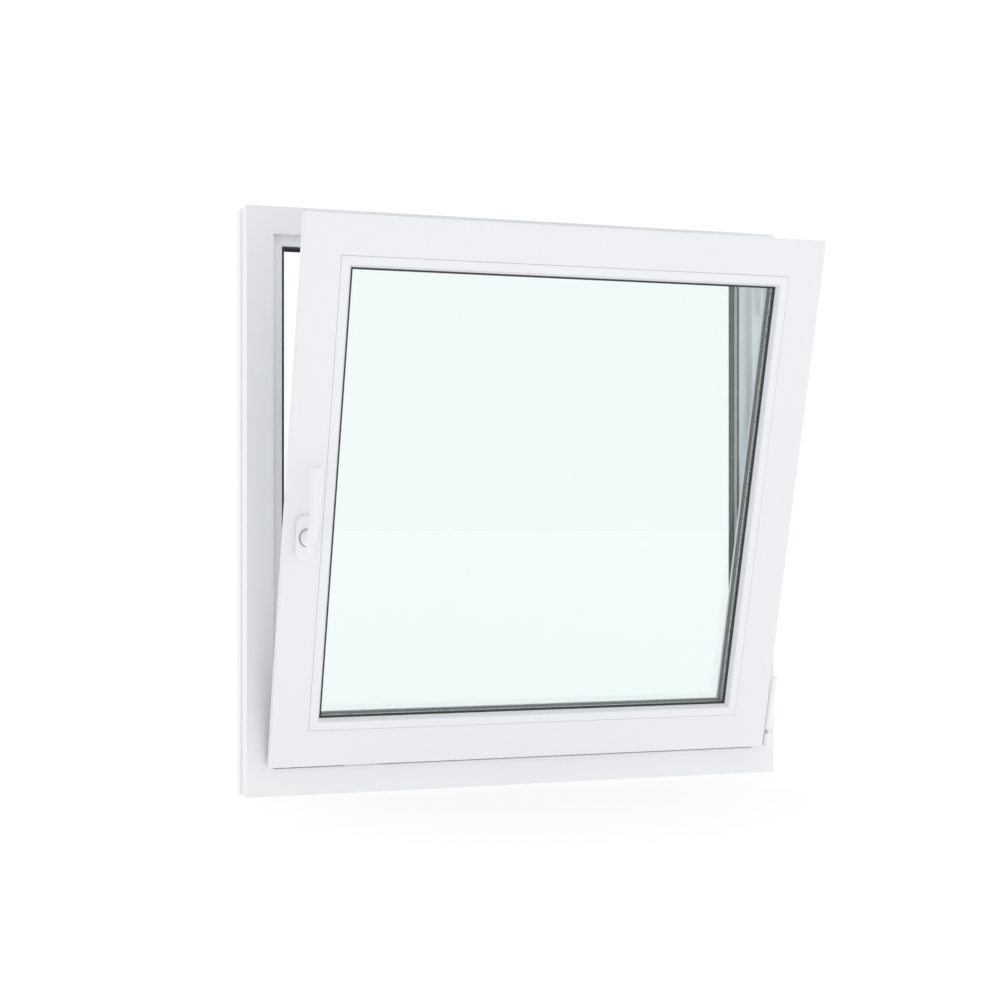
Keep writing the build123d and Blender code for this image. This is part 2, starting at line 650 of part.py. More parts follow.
def build_stay():
    """Top hinge: a bearing on the frame, the stay arm and its block on the sash."""
    lower = (Align.CENTER, Align.CENTER, Align.MIN)
    bore_radius = HINGE_PIN_RADIUS + HINGE_PIN_GAP
    groove_top = (SASH_PLACE * Pos(0, GROOVE_CENTRE, SASH_HEIGHT - FLANGE_WIDTH)).position
    level = groove_top.Z + STAY_BLOCK_RISE
    start = Vector(HINGE_X, ROOM_FACE_Y - HINGE_PROUD, level)
    run = (STAY_ARM_LENGTH**2 - (start.Y - groove_top.Y) ** 2) ** 0.5
    end = Vector(HINGE_X - run, groove_top.Y, level)
    angle = Vector(1, 0, 0).get_signed_angle(end - start, Vector(0, 0, 1))

    bearing_low = level - STAY_BEARING_LENGTH
    bearing = Pos(start.X, start.Y, bearing_low) * Cylinder(HINGE_RADIUS, STAY_BEARING_LENGTH, align=lower)
    bearing += block(
        (HINGE_X - 2 * HINGE_RADIUS, HINGE_X + HINGE_RADIUS), (start.Y, ROOM_FACE_Y), (bearing_low, level)
    )
    bearing -= Pos(start) * Cylinder(bore_radius, 2 * STAY_PIN_DEPTH)

    arm = extrude(
        Pos((start + end) / 2) * Rot(0, 0, angle) * SlotCenterToCenter(STAY_ARM_LENGTH, STAY_ARM_WIDTH),
        amount=STAY_ARM_THICKNESS,
    )
    arm += Pos(start) * Cylinder(HINGE_RADIUS, STAY_EYE_HEIGHT, align=lower)
    arm -= Pos(start) * Cylinder(bore_radius, 2 * STAY_PIN_DEPTH)
    arm -= Pos(end) * Cylinder(bore_radius, 2 * STAY_PIN_DEPTH)

    pin = Pos(start) * Pos(0, 0, -STAY_PIN_DEPTH) * Cylinder(
        HINGE_PIN_RADIUS, STAY_PIN_DEPTH + STAY_EYE_HEIGHT, align=lower
    )
    pin += Pos(start) * Pos(0, 0, STAY_EYE_HEIGHT) * Cylinder(HINGE_RADIUS, STAY_CAP_HEIGHT, align=lower)

    slab = block(
        (end.X - STAY_BLOCK_LENGTH / 2, end.X + STAY_BLOCK_LENGTH / 2),
        (GROOVE_CENTRE - FACEPLATE_WIDTH / 2, GROOVE_CENTRE + FACEPLATE_WIDTH / 2),
        (SASH_HEIGHT - FLANGE_WIDTH, SASH_HEIGHT),
    )
    above_arm = Pos(end) * Box(
        FAR, FAR, FLANGE_WIDTH * 2, align=(Align.CENTER, Align.CENTER, Align.MIN)
    )
    slider = SASH_PLACE * slab - above_arm
    slider += Pos(end) * Cylinder(HINGE_PIN_RADIUS, STAY_ARM_THICKNESS + STAY_CAP_HEIGHT, align=lower)
    return {"stay_bearing": bearing, "stay_arm": arm, "stay_pin": pin, "stay_slider": slider}


def build_window():
    """Every piece of the window in its place, with the sash tilted."""
    frame_hinge, sash_hinge = build_corner_hinge()
    overlap_seal = joined_ring(overlap_seal_section(), SASH_WIDTH, SASH_HEIGHT)
    overlap_seal -= sash_hinge["corner_hinge_leaf"]
    tilted = {
        **build_sash(),
        "sash_overlap_seal": overlap_seal,
        **build_glazing(),
        **build_gear(),
        **build_handle(),
        **sash_hinge,
    }
    pieces = {**build_frame(), **build_drain_caps(), **build_keeps(), **frame_hinge, **build_stay()}
    pieces.update({name: SASH_PLACE * piece for name, piece in tilted.items()})
    return pieces


os.makedirs("parts", exist_ok=True)
for name, piece in build_window().items():
    export_step(piece, f"parts/{name}.step")
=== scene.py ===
"""Finishes, glazing, seals, handle, fittings and studio of a white tilt and turn window."""

import json
import logging
import math
from dataclasses import dataclass, field
from enum import Enum

import bmesh
import bpy
import numpy as np
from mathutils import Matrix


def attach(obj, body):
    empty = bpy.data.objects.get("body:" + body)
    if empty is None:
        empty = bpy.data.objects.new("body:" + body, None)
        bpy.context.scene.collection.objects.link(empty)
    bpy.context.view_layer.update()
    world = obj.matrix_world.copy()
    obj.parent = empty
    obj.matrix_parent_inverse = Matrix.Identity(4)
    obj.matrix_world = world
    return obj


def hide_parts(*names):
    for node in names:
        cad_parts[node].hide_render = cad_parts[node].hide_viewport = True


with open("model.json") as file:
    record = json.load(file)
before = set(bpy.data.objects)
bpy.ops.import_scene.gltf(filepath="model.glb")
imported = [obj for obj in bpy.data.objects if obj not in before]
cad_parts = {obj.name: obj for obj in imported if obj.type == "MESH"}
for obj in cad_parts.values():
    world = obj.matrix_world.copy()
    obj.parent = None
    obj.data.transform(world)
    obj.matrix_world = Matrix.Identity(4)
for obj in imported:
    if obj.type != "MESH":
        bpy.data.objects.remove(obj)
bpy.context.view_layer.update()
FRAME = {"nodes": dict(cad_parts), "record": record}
LOG = logging.getLogger("window")

MM = 0.001
MERGE_DISTANCE = 0.002 * MM


class Body(str, Enum):
    """The rigid bodies of the window."""

    WINDOW = "window"
    HANDLE = "handle"


class Slot(str, Enum):
    """The record's finishes that new pieces take."""

    FRAME = "frame_pvc"
    SASH = "sash_pvc"
    BEAD = "bead_pvc"
    CAP = "cap_pvc"
    RUBBER = "black_rubber"
    GLASS = "clear_glass"
    SPACER = "spacer_grey"
    HANDLE = "handle_white"
    HINGE = "hinge_white"
    STEEL = "hardware_steel"


class Look(str, Enum):
    """Finishes of new pieces that the record doesn't name."""

    # finish of the spacer's strip, whose near-white is a painted glint
    STRIP = "painted_glint_strip"


@dataclass(frozen=True)
class Leaning:
    """Axes of a wall or of the tilted sash: across, outward and up, in metres."""

    foot_y: float
    foot_z: float = 0.0
    tilt: float = 0.0

    def place(self, points: np.ndarray) -> np.ndarray:
        """Turn local points into window points, by a rotation about the foot line and a shift.

        Args:
            points: array (..., 3) of across, outward and up.

        Returns:
            Array of the same shape in the window's own axes.
        """
        cosine, sine = math.cos(self.tilt), math.sin(self.tilt)
        across, outward, up = points[..., 0], points[..., 1], points[..., 2]
        y = self.foot_y + outward * cosine - up * sine
        z = self.foot_z + outward * sine + up * cosine
        return np.stack([across, y, z], axis=-1)


WALL = Leaning(foot_y=-15 * MM)
SASH = Leaning(foot_y=-33 * MM, foot_z=50 * MM, tilt=math.radians(14.7))
FRAME_SIZE = (1000 * MM, 1000 * MM)
SASH_SIZE = (932 * MM, 932 * MM)


class Side(Enum):
    """The sides of a rectangle, in quarter turns from the bottom one."""

    BOTTOM = 0
    RIGHT = 1
    TOP = 2
    LEFT = 3

    def turn(self, points: np.ndarray, size: tuple[float, float]) -> np.ndarray:
        """Move points from the bottom side to this one, by a rotation about the rectangle's middle.

        Args:
            points: array (..., 3) of along, outward and height over the bottom edge, in millimetres.
            size: width and height of the rectangle in metres.

        Returns:
            Array of across, outward and up from the rectangle's foot, in metres.
        """
        along, outward, height = points[..., 0] * MM, points[..., 1] * MM, points[..., 2] * MM
        inward = height - size[1 - self.value % 2] / 2
        cosine, sine = math.cos(self.value * math.pi / 2), math.sin(self.value * math.pi / 2)
        up = size[1] / 2 + along * sine + inward * cosine
        return np.stack([along * cosine - inward * sine, outward, up], axis=-1)


class Nodes:
    """A material under construction, with short calls for the nodes it needs."""

    def __init__(self, name: str) -> None:
        """Start an empty material.

        Args:
            name: the material's name.
        """
        self.material = bpy.data.materials.new(name)
        self.material.use_nodes = True
        self.tree = self.material.node_tree
        self.tree.nodes.clear()
        self.shader = self.add("ShaderNodeBsdfPrincipled")
        output = self.add("ShaderNodeOutputMaterial")
        self.tree.links.new(self.shader.outputs["BSDF"], output.inputs["Surface"])
        self.coordinates = self.add("ShaderNodeTexCoord").outputs["Object"]

    def add(self, kind: str, **inputs: object) -> bpy.types.Node:
        """Add a node and set or link its named inputs.

        Args:
            kind: the node type's name.
            **inputs: values, or sockets of other nodes, by input name with _ for a space.

        Returns:
            The new node.
        """
        node = self.tree.nodes.new(kind)
        for name, value in inputs.items():
            self.feed(node.inputs[name.replace("_", " ")], value)
        return node

    def feed(self, socket: bpy.types.NodeSocket, value: object) -> None:
        """Link a socket to another one, or set its value.

        Args:
            socket: the input to fill.
            value: a socket, a number or a tuple.
        """
        if isinstance(value, bpy.types.NodeSocket):
            self.tree.links.new(value, socket)
        else:
            socket.default_value = value

    def surface(self, **values: object) -> None:
        """Fill inputs of the surface shader.

        Args:
            **values: values or sockets, by input name with _ for a space.
        """
        for name, value in values.items():
            self.feed(self.shader.inputs[name.replace("_", " ")], value)

    def stretched(self, scale: tuple[float, float, float]) -> bpy.types.NodeSocket:
        """Object coordinates scaled along each axis.

        Args:
            scale: factor along X, Y and Z.

        Returns:
            The vector socket.
        """
        return self.add("ShaderNodeMapping", Vector=self.coordinates, Scale=scale).outputs["Vector"]

    def noise(
        self, scale: float, detail: float, vector: bpy.types.NodeSocket | None = None
    ) -> bpy.types.NodeSocket:
        """Soft noise between 0 and 1.

        Args:
            scale: how many features fit in a metre.
            detail: how many finer octaves are added.
            vector: coordinates, or none for the object's own.

        Returns:
            The factor socket.
        """
        source = vector if vector is not None else self.coordinates
        node = self.add("ShaderNodeTexNoise", Vector=source, Scale=scale, Detail=detail)
        return node.outputs["Fac"]

    def between(self, factor: bpy.types.NodeSocket, low: float, high: float) -> bpy.types.NodeSocket:
        """Map a factor from 0..1 to low..high.

        Args:
            factor: the source factor.
            low: result at 0.
            high: result at 1.

        Returns:
            The mapped socket.
        """
        node = self.add("ShaderNodeMapRange", Value=factor, To_Min=low, To_Max=high)
        return node.outputs["Result"]

    def blend(
        self, factor: bpy.types.NodeSocket, first: tuple[float, ...], second: tuple[float, ...]
    ) -> bpy.types.NodeSocket:
        """Mix two colours by a factor.

        Args:
            factor: 0 gives the first colour and 1 the second.
            first: red, green and blue.
            second: red, green and blue.

        Returns:
            The colour socket.
        """
        ramp = self.add("ShaderNodeValToRGB", Fac=factor)
        ramp.color_ramp.elements[0].color = (*first, 1.0)
        ramp.color_ramp.elements[1].color = (*second, 1.0)
        return ramp.outputs["Color"]

    def relief(
        self, height: bpy.types.NodeSocket, depth: float, strength: float
    ) -> bpy.types.NodeSocket:
        """Bump from a height factor.

        Args:
            height: the height factor.
            depth: the relief's depth in metres at a factor of 1.
            strength: how much of the relief shows.

        Returns:
            The normal socket.
        """
        node = self.add("ShaderNodeBump", Height=height, Distance=depth, Strength=strength)
        return node.outputs["Normal"]


@dataclass(frozen=True)
class ExtrudedPlastic:
    """Smooth white window plastic with a soft gloss and a hardly visible waviness."""

    name: str
    light: tuple[float, float, float]
    shade: tuple[float, float, float]
    roughness: float = 0.32

    def material(self) -> bpy.types.Material:
        """Make the finish: two close whites, an uneven gloss and a shallow wave."""
        nodes = Nodes(self.name)
        tone = nodes.noise(5.0, 3.0)
        polish = nodes.noise(60.0, 4.0)
        wave = nodes.noise(14.0, 1.0)
        nodes.surface(
            Base_Color=nodes.blend(tone, self.shade, self.light),
            Roughness=nodes.between(polish, self.roughness - 0.05, self.roughness + 0.05),
            IOR=1.46,
            Normal=nodes.relief(wave, 0.1 * MM, 0.35),
        )
        return nodes.material


@dataclass(frozen=True)
class PowderCoat:
    """White baked powder on die-cast metal, with the fine skin that such paint has."""

    name: str
    light: tuple[float, float, float]
    shade: tuple[float, float, float]

    def material(self) -> bpy.types.Material:
        """Make the finish: a fine grain in height and gloss over a close pair of whites."""
        nodes = Nodes(self.name)
        grain = nodes.noise(900.0, 2.0)
        tone = nodes.noise(30.0, 2.0)
        nodes.surface(
            Base_Color=nodes.blend(tone, self.shade, self.light),
            Roughness=nodes.between(grain, 0.3, 0.4),
            IOR=1.48,
            Normal=nodes.relief(grain, 0.02 * MM, 0.3),
        )
        return nodes.material


@dataclass(frozen=True)
class Rubber:
    """Matt black sealing rubber."""

    name: str
    light: tuple[float, float, float] = (0.045, 0.052, 0.05)
    shade: tuple[float, float, float] = (0.018, 0.022, 0.021)

    def material(self) -> bpy.types.Material:
        """Make the finish: dusty patches and a fine grain."""
        nodes = Nodes(self.name)
        dust = nodes.noise(35.0, 4.0)
        grain = nodes.noise(1500.0, 2.0)
        nodes.surface(
            Base_Color=nodes.blend(dust, self.shade, self.light),
            Roughness=nodes.between(dust, 0.5, 0.7),
            Normal=nodes.relief(grain, 0.03 * MM, 0.5),
        )
        return nodes.material


@dataclass(frozen=True)
class ZincPlate:
    """Satin zinc-plated steel of the fittings, brushed along one way."""

    name: str
    light: tuple[float, float, float] = (0.74, 0.74, 0.73)
    shade: tuple[float, float, float] = (0.55, 0.56, 0.57)
    roughness: float = 0.34
    brush: tuple[float, float, float] = (40.0, 900.0, 900.0)

    def material(self) -> bpy.types.Material:
        """Make the finish: brushed streaks in tone and gloss, and a cloudy plating."""
        nodes = Nodes(self.name)
        streak = nodes.noise(1.0, 3.0, nodes.stretched(self.brush))
        cloud = nodes.noise(45.0, 4.0)
        nodes.surface(
            Base_Color=nodes.blend(cloud, self.shade, self.light),
            Metallic=1.0,
            Roughness=nodes.between(streak, self.roughness - 0.08, self.roughness + 0.12),
            Normal=nodes.relief(streak, 0.02 * MM, 0.3),
        )
        return nodes.material


@dataclass(frozen=True)
class FloatGlass:
    """Clear float glass with a faint green tint and a very long roller wave."""

    name: str
    tint: tuple[float, float, float] = (0.915, 0.96, 0.955)

    def material(self) -> bpy.types.Material:
        """Make the finish: full transmission through a surface that waves very slightly."""
        nodes = Nodes(self.name)
        wave = nodes.noise(1.0, 1.0, nodes.stretched((0.6, 1.0, 5.0)))
        nodes.surface(
            Base_Color=(*self.tint, 1.0),
            Roughness=0.0,
            IOR=1.5,
            Transmission_Weight=1.0,
            Normal=nodes.relief(wave, 0.05 * MM, 0.05),
        )
        return nodes.material


@dataclass(frozen=True)
class SpacerBar:
    """Grey spacer between the panes, with rows of fine holes to the drying beads inside."""

    name: str
    light: tuple[float, float, float] = (0.12, 0.136, 0.134)
    shade: tuple[float, float, float] = (0.085, 0.097, 0.096)

    def material(self) -> bpy.types.Material:
        """Make the finish: a satin grey with small pits about 3 mm apart."""
        nodes = Nodes(self.name)
        cells = nodes.add("ShaderNodeTexVoronoi", Vector=nodes.coordinates, Scale=330.0)
        pit = nodes.add(
            "ShaderNodeMapRange", Value=cells.outputs["Distance"], From_Min=0.12, From_Max=0.2
        ).outputs["Result"]
        cloud = nodes.noise(25.0, 3.0)
        nodes.surface(
            Base_Color=nodes.blend(cloud, self.shade, self.light),
            Roughness=nodes.between(cloud, 0.35, 0.5),
            Normal=nodes.relief(pit, 0.2 * MM, 0.5),
        )
        return nodes.material


@dataclass(frozen=True)
class PaintedGlintStrip:
    """Strip along the spacer's edge in near-white, a painted glint, broken by a row of small dark slots.
    """

    name: str
    # painted glint: this near-white stands in for the light line along the spacer's edge
    light: tuple[float, float, float] = (0.88, 0.9, 0.9)
    slot: tuple[float, float, float] = (0.14, 0.16, 0.16)

    def material(self) -> bpy.types.Material:
        """Make the finish: a near-white painted glint in cells about 5 mm long, with a dark spot in the
        middle of each.
        """
        nodes = Nodes(self.name)
        cells = nodes.add("ShaderNodeTexVoronoi", Vector=nodes.coordinates, Scale=190.0)
        painted_glint_mask = nodes.add(
            "ShaderNodeMapRange", Value=cells.outputs["Distance"], From_Min=0.2, From_Max=0.32
        ).outputs["Result"]
        nodes.surface(
            Base_Color=nodes.blend(painted_glint_mask, self.slot, self.light),
            Metallic=0.1,
            Roughness=nodes.between(painted_glint_mask, 0.5, 0.35),
            Normal=nodes.relief(painted_glint_mask, 0.2 * MM, 0.5),
        )
        return nodes.material


@dataclass
class FinishSet:
    """Every finish of the window, made once and kept by its record slot or its own name."""

    materials: dict[str, bpy.types.Material] = field(default_factory=dict)

    def make(self) -> None:
        """Make the material of each slot in the record and of each look of its own."""
        finishes = {
            Slot.FRAME: ExtrudedPlastic("frame_plastic", (0.91, 0.927, 0.943), (0.895, 0.912, 0.927)),
            Slot.SASH: ExtrudedPlastic("sash_plastic", (0.89, 0.905, 0.935), (0.875, 0.89, 0.92)),
            Slot.BEAD: ExtrudedPlastic("bead_plastic", (0.9, 0.92, 0.95), (0.885, 0.905, 0.935)),
            Slot.CAP: PowderCoat("cap_plastic", (0.86, 0.87, 0.88), (0.83, 0.84, 0.85)),
            Slot.RUBBER: Rubber("seal_rubber"),
            Slot.GLASS: FloatGlass("window_glass"),
            Slot.SPACER: SpacerBar("spacer_bar"),
            Slot.HANDLE: PowderCoat("handle_paint", (0.9, 0.916, 0.948), (0.885, 0.901, 0.933)),
            Slot.HINGE: PowderCoat("hinge_paint", (0.94, 0.952, 0.975), (0.92, 0.932, 0.955)),
            Slot.STEEL: ZincPlate("zinc_plate"),
            # the spacer strip's near-white finish is a painted glint
            Look.STRIP: PaintedGlintStrip("painted_glint_strip"),
        }
        self.materials = {slot: finish.material() for slot, finish in finishes.items()}

    def dress(self, node: bpy.types.Object, slot: str) -> None:
        """Give a node of the model the finish of its slot.

        Args:
            node: the model's object.
            slot: the record's name of the finish.
        """
        for place in node.material_slots:
            place.material = self.materials[slot]

    def dress_all(self) -> None:
        """Give every node of the model the finish that the record names for it."""
        for part in FRAME["record"]["subparts"]:
            self.dress(FRAME["nodes"][part["node"]], part["material_slot"])

    def add(
        self,
        piece: bpy.types.Object,
        slot: Slot,
        *nodes: str,
        body: Body = Body.WINDOW,
        look: Look | None = None,
    ) -> None:
        """Finish a new piece, let it ride on its body and hide the model's nodes that it replaces.

        Args:
            piece: the new object.
            slot: its finish in the record.
            *nodes: the model's nodes that it replaces, if any.
            body: the body that it moves with.
            look: a finish of its own, if it has one.
        """
        piece.data.materials.append(self.materials[look or slot])
        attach(piece, body.value)
        if nodes:
            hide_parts(*nodes)
        LOG.info("%s: %d faces", piece.name, len(piece.data.polygons))


def rounded(corners: list[tuple[float, float, float]], steps: int = 5) -> np.ndarray:
    """Closed outline with its corners rounded.

    Each corner becomes a parabola between the points at its rounding distance along its two
    edges: point t of it is (1 - t)^2 start + 2 t (1 - t) corner + t^2 end.

    Args:
        corners: depth, height and rounding distance of each corner in millimetres.
        steps: points on each corner.

    Returns:
        Array (n, 2) of depth and height in metres.
    """
    table = np.array(corners, dtype=float)
    place, reach = table[:, None, :2], table[:, None, 2:]
    before = np.roll(place, 1, axis=0) - place
    after = np.roll(place, -1, axis=0) - place
    start = place + reach * before / np.linalg.norm(before, axis=-1, keepdims=True)
    end = place + reach * after / np.linalg.norm(after, axis=-1, keepdims=True)
    t = np.linspace(0, 1, steps)[None, :, None]
    arcs = (1 - t) ** 2 * start + 2 * t * (1 - t) * place + t**2 * end
    return arcs.reshape(-1, 2) * MM


def ring_corners(profile: np.ndarray, size: tuple[float, float]) -> np.ndarray:
    """A profile set at the four corners of a rectangle, mitred.

    A point of the profile stands its depth outward, and its height inward from both edges
    that meet at the corner.

    Args:
        profile: array (n, 2) of depth and height.
        size: width and height of the rectangle.

    Returns:
        Array (4, n, 3) of across, outward and up, counter-clockwise from the lower left.
    """
    sign = np.array([[-1, -1], [1, -1], [1, 1], [-1, 1]])
    depth, inward = profile[:, 0], profile[:, 1]
    across = sign[:, :1] * (size[0] / 2 - inward)
    up = size[1] / 2 + sign[:, 1:] * (size[1] / 2 - inward)
    return np.stack([across, np.broadcast_to(depth, across.shape), up], axis=-1)


def ring_bars(profile: np.ndarray, size: tuple[float, float], trim: float) -> np.ndarray:
    """The four mitred bars of a profile round a rectangle, each shortened at both ends.

    Args:
        profile: array (n, 2) of depth and height.
        size: width and height of the rectangle.
        trim: how much is taken off each end.

    Returns:
        Array (4, 2, n, 3) of the end outlines of the bottom, right, top and left bars.
    """
    start = ring_corners(profile, size)
    end = np.roll(start, -1, axis=0)
    along = (end - start) / np.linalg.norm(end - start, axis=-1, keepdims=True)
    return np.stack([start + trim * along, end - trim * along], axis=1)


def grid_faces(rows: int, columns: int, closed: bool = False) -> np.ndarray:
    """Quads of a grid that closes on itself along its columns.

    Face (i, j) joins vertices (i, j), (i, j+1), (i+1, j+1) and (i+1, j), with j+1 taken round.

    Args:
        rows: number of vertex rings.
        columns: number of vertices in a ring.
        closed: whether the last ring joins the first one.

    Returns:
        Array (m, 4) of vertex numbers.
    """
    lines = rows if closed else rows - 1
    row, column = np.meshgrid(np.arange(lines), np.arange(columns), indexing="ij")
    below, after = (row + 1) % rows, (column + 1) % columns
    this, next_row = row * columns, below * columns
    corners = [this + column, this + after, next_row + after, next_row + column]
    return np.stack(corners, axis=-1).reshape(-1, 4)


def mesh_object(
    name: str, vertices: np.ndarray, faces: np.ndarray, crease: float = 35.0
) -> bpy.types.Object:
    """Make a clean object from arrays: doubles merged, faces outwards, edges sharp above an angle.

    Args:
        name: the piece's name.
        vertices: array (..., 3) in metres.
        faces: array (m, 4) of vertex numbers.
        crease: angle in degrees above which an edge stays sharp.

    Returns:
        The new object at the origin.
    """
    mesh = bpy.data.meshes.new(name)
    mesh.from_pydata(vertices.reshape(-1, 3).tolist(), [], faces.tolist())
    work = bmesh.new()
    work.from_mesh(mesh)
    bmesh.ops.remove_doubles(work, verts=work.verts, dist=MERGE_DISTANCE)
    bmesh.ops.recalc_face_normals(work, faces=work.faces)
    work.to_mesh(mesh)
    work.free()
    mesh.shade_smooth()
    mesh.set_sharp_from_angle(angle=math.radians(crease))
    piece = bpy.data.objects.new(name, mesh)
    bpy.context.scene.collection.objects.link(piece)
    return piece


def skin(name: str, rings: np.ndarray, crease: float = 35.0) -> bpy.types.Object:
    """Skin over one or more stacks of closed rings, each end closed to its ring's middle.

    Args:
        name: the piece's name.
        rings: array (..., rows, columns, 3) of points, one stack for each of the first indices.
        crease: angle in degrees above which an edge stays sharp.

    Returns:
        The closed object.
    """
    rows, columns = rings.shape[-3:-1]
    stacks = rings.reshape(-1, rows, columns, 3)
    ends = np.repeat(stacks[:, [0, -1]].mean(axis=2, keepdims=True), columns, axis=2)
    closed = np.concatenate([ends[:, :1], stacks, ends[:, 1:]], axis=1)
    shift = np.arange(len(stacks))[:, None, None] * (rows + 2) * columns
    faces = (grid_faces(rows + 2, columns)[None] + shift).reshape(-1, 4)
    return mesh_object(name, closed, faces, crease)


def loop(
    name: str, axes: Leaning, profile: np.ndarray, size: tuple[float, float], shift: float = 0.0
) -> bpy.types.Object:
    """A profile carried round a rectangle as one mitred loop.

    Args:
        name: the piece's name.
        axes: where the rectangle stands.
        profile: array (n, 2) of depth and height.
        size: width and height of the rectangle.
        shift: how far the loop stands to the right of the rectangle's middle.

    Returns:
        The object.
    """
    corners = axes.place(ring_corners(profile, size) + np.array([shift, 0.0, 0.0]))
    return mesh_object(name, corners, grid_faces(4, len(profile), closed=True))


def turned(radius: np.ndarray, rise: np.ndarray, columns: int = 40) -> np.ndarray:
    """Rings of a body turned about the third axis.

    Point (i, j) stands at radius i and rise i, at the angle j of a full turn.

    Args:
        radius: array (rows,).
        rise: array (rows,).
        columns: points round.

    Returns:
        Array (rows, columns, 3).
    """
    angle = np.linspace(0, 2 * math.pi, columns, endpoint=False)[None, :]
    across, along = radius[:, None] * np.cos(angle), radius[:, None] * np.sin(angle)
    return np.stack(np.broadcast_arrays(across, along, rise[:, None]), axis=-1)


def domed(radius: float, dome: float, skirt: float, steps: int = 9) -> np.ndarray:
    """Rings of a flat dome over a short skirt.

    Ring t of the dome has the radius R cos(t) and the rise H sin(t), up to a quarter turn.

    Args:
        radius: the radius R.
        dome: the rise H.
        skirt: how far its side goes down.
        steps: rings from the rim to the top.

    Returns:
        Array (rows, columns, 3).
    """
    turn = np.linspace(0, math.pi / 2, steps)[:-1]
    return turned(np.append(radius, radius * np.cos(turn)), np.append(-skirt, dome * np.sin(turn)))


@dataclass
class Seals:
    """The black lip seals of the frame and of the sash flange."""

    finishes: FinishSet
    rib_tip: float = 66
    rib_start: float = 16
    lip_start: float = 50
    lip_tip: float = 69
    flange_back: float = 15

    def centre_profile(self) -> np.ndarray:
        """Outline of the seal on the centre rib: a tapering lip, a hollow, a heel and a barbed foot."""
        low, front = self.rib_tip, self.rib_start - 0.5
        return rounded(
            [
                (front, low, 0.2),
                (front, low + 3, 0.9),
                (front + 2.2, low + 3, 0.9),
                (front + 2.9, low + 1.5, 0.5),
                (front + 4.2, low + 1, 0.4),
                (front + 7.5, low + 1, 0.4),
                (front + 7.5, low, 0.1),
                (front + 7.4, low - 4, 0.5),
                (front + 3.6, low - 4, 0.5),
                (front + 3.6, low, 0.1),
            ]
        )

    def outer_profile(self) -> np.ndarray:
        """Outline of the wiping seal at the outer lip, with a soft bulb at its tip."""
        back, tip = self.lip_start, self.lip_tip + 1
        return rounded(
            [
                (back, tip - 11.5, 0.1),
                (back - 2.2, tip - 11.5, 0.9),
                (back - 1.3, tip - 7.5, 0.9),
                (back - 1.3, tip - 4, 0.9),
                (back - 2.5, tip - 2, 0.9),
                (back - 2.3, tip, 0.9),
                (back, tip, 0.2),
            ]
        )

    def flange_profile(self) -> np.ndarray:
        """Outline of the seal behind the sash flange: a flat base and a soft leaning lip."""
        back = self.flange_back
        return rounded(
            [
                (back, 3, 0.1),
                (back + 1.4, 3, 0.5),
                (back + 3.4, 4.2, 0.8),
                (back + 3.3, 6.2, 0.7),
                (back + 1.8, 7.4, 0.7),
                (back + 1.5, 11, 0.4),
                (back, 11, 0.1),
            ]
        )

    def build(self) -> None:
        """Build the three loops."""
        centre = loop("centre_lip_seal", WALL, self.centre_profile(), FRAME_SIZE)
        self.finishes.add(centre, Slot.RUBBER, "frame_centre_seal")
        outer = loop("outer_wiping_seal", WALL, self.outer_profile(), FRAME_SIZE)
        self.finishes.add(outer, Slot.RUBBER, "frame_outer_seal")
        flange = loop("flange_lip_seal", SASH, self.flange_profile(), SASH_SIZE)
        self.finishes.add(flange, Slot.RUBBER, "sash_overlap_seal")


